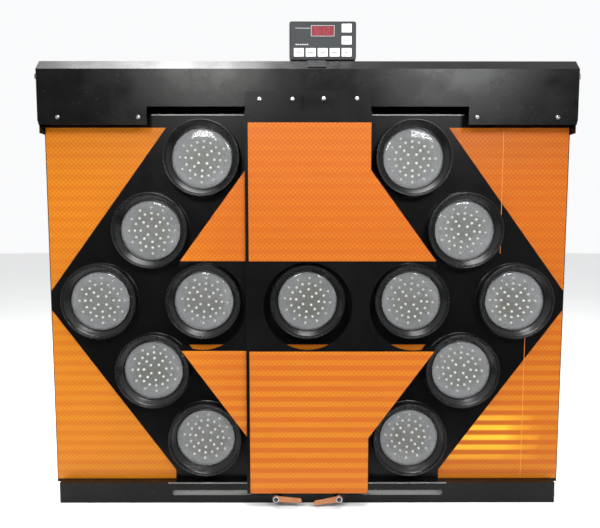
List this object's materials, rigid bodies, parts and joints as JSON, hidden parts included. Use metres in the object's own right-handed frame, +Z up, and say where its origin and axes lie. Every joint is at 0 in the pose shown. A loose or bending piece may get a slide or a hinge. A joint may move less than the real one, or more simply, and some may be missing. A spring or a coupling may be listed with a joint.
{
  "type": "arrow board",
  "caption": "Sliding-shutter arrow board with LED lamps on a black panel, orange reflective sheeting, a top housing and a small controller.",
  "frame": {"origin": "middle of the bottom channel's underside, in line with the lamp panel's front face", "axes": "+Z up, front faces -Y, +X to the viewer's right"},
  "size_m": [1.238, 0.1508, 1.1276],
  "materials": {
    "board_black": "semi-gloss black powder coat on sheet",
    "housing_black": "semi-gloss black powder coat",
    "cover_black": "satin black powder coat",
    "sheeting_orange": "prismatic retroreflective sheeting, orange",
    "bezel_black": "gloss black moulded bezel",
    "lens_clear": "clear domed lens",
    "lamp_cup": "black moulded cup",
    "gasket_rubber": "black rubber",
    "led_board": "pale greenish-grey circuit board",
    "zinc_steel": "zinc-plated steel",
    "nylon_white": "natural nylon",
    "lever_tan": "copper-tan enamel",
    "harness_black": "black sleeve",
    "driver_grey": "grey enamel",
    "bracket_grey": "grey enamel",
    "case_grey": "dark grey moulded case",
    "plate_grey": "dark grey keypad overlay",
    "display_red": "red display window",
    "key_white": "white key cap",
    "board_green": "green circuit board",
    "gland_black": "black nylon gland"
  },
  "bodies": {
    "board": {"top_housing": "housing_black", "housing_end_left": "housing_black", "housing_end_right": "housing_black", "housing_standoffs": "zinc_steel", "housing_screws": "zinc_steel", "lamp_panel": "board_black", "panel_sheeting": "sheeting_orange", "back_cover": "cover_black", "bottom_channel": "housing_black", "slide_rod": "zinc_steel", "lamp_lenses": "lens_clear", "lamp_gaskets": "gasket_rubber", "lamp_cups": "lamp_cup", "led_boards": "led_board", "lamp_driver": "driver_grey", "wiring_harness": "harness_black", "rear_brackets": "cover_black", "cable_gland": "gland_black", "controller_bracket": "bracket_grey", "controller_pin": "zinc_steel", "lamp_bezel_1": "bezel_black", "lamp_bezel_2": "bezel_black", "lamp_bezel_3": "bezel_black", "lamp_bezel_4": "bezel_black", "lamp_bezel_5": "bezel_black", "lamp_bezel_6": "bezel_black", "lamp_bezel_7": "bezel_black", "lamp_bezel_8": "bezel_black", "lamp_bezel_9": "bezel_black", "lamp_bezel_10": "bezel_black", "lamp_bezel_11": "bezel_black", "lamp_bezel_12": "bezel_black", "lamp_bezel_13": "bezel_black"},
    "left_slide": {"left_shutter": "board_black", "left_sheeting": "sheeting_orange", "left_hanger": "housing_black", "left_bushes": "nylon_white", "left_screws": "zinc_steel", "left_foot": "housing_black", "left_stud": "zinc_steel"},
    "right_slide": {"right_shutter": "board_black", "right_sheeting": "sheeting_orange", "right_hanger": "housing_black", "right_bushes": "nylon_white", "right_screws": "zinc_steel", "right_foot": "housing_black", "right_stud": "zinc_steel"},
    "left_lever_arm": {"left_lever": "lever_tan"},
    "right_lever_arm": {"right_lever": "lever_tan"},
    "controller": {"controller_case": "case_grey", "controller_plate": "plate_grey", "controller_display": "display_red", "controller_board": "board_green"},
    "key_1": {"button_1": "key_white"},
    "key_2": {"button_2": "key_white"},
    "key_3": {"button_3": "key_white"},
    "key_4": {"button_4": "key_white"},
    "key_5": {"button_5": "key_white"},
    "key_6": {"button_6": "key_white"},
    "key_7": {"button_7": "key_white"}
  },
  "joints": [
    {"name": "left_shutter_slide", "type": "slide", "parent": "board", "child": "left_slide", "axis": [-1, 0, 0], "range_m": [0, 0.244]},
    {"name": "right_shutter_slide", "type": "slide", "parent": "board", "child": "right_slide", "axis": [1, 0, 0], "range_m": [0, 0.244]},
    {"name": "left_lever_turn", "type": "hinge", "parent": "left_slide", "child": "left_lever_arm", "pos_m": [-0.074, -0.0575, 0.025], "axis": [0, -1, 0], "range_deg": [0, 75]},
    {"name": "right_lever_turn", "type": "hinge", "parent": "right_slide", "child": "right_lever_arm", "pos_m": [0.074, -0.0575, 0.025], "axis": [0, 1, 0], "range_deg": [0, 75]},
    {"name": "controller_tilt", "type": "hinge", "parent": "board", "child": "controller", "pos_m": [0.02, 0.043, 1.0858], "axis": [-1, 0, 0], "range_deg": [0, 20]},
    {"name": "key_1_press", "type": "slide", "parent": "controller", "child": "key_1", "axis": [0, 0.9994, -0.0349], "range_m": [0, 0.001], "stiffness_N_per_m": 400},
    {"name": "key_2_press", "type": "slide", "parent": "controller", "child": "key_2", "axis": [0, 0.9994, -0.0349], "range_m": [0, 0.001], "stiffness_N_per_m": 400},
    {"name": "key_3_press", "type": "slide", "parent": "controller", "child": "key_3", "axis": [0, 0.9994, -0.0349], "range_m": [0, 0.001], "stiffness_N_per_m": 400},
    {"name": "key_4_press", "type": "slide", "parent": "controller", "child": "key_4", "axis": [0, 0.9994, -0.0349], "range_m": [0, 0.001], "stiffness_N_per_m": 400},
    {"name": "key_5_press", "type": "slide", "parent": "controller", "child": "key_5", "axis": [0, 0.9994, -0.0349], "range_m": [0, 0.001], "stiffness_N_per_m": 400},
    {"name": "key_6_press", "type": "slide", "parent": "controller", "child": "key_6", "axis": [0, 0.9994, -0.0349], "range_m": [0, 0.001], "stiffness_N_per_m": 400},
    {"name": "key_7_press", "type": "slide", "parent": "controller", "child": "key_7", "axis": [0, 0.9994, -0.0349], "range_m": [0, 0.001], "stiffness_N_per_m": 400}
  ]
}
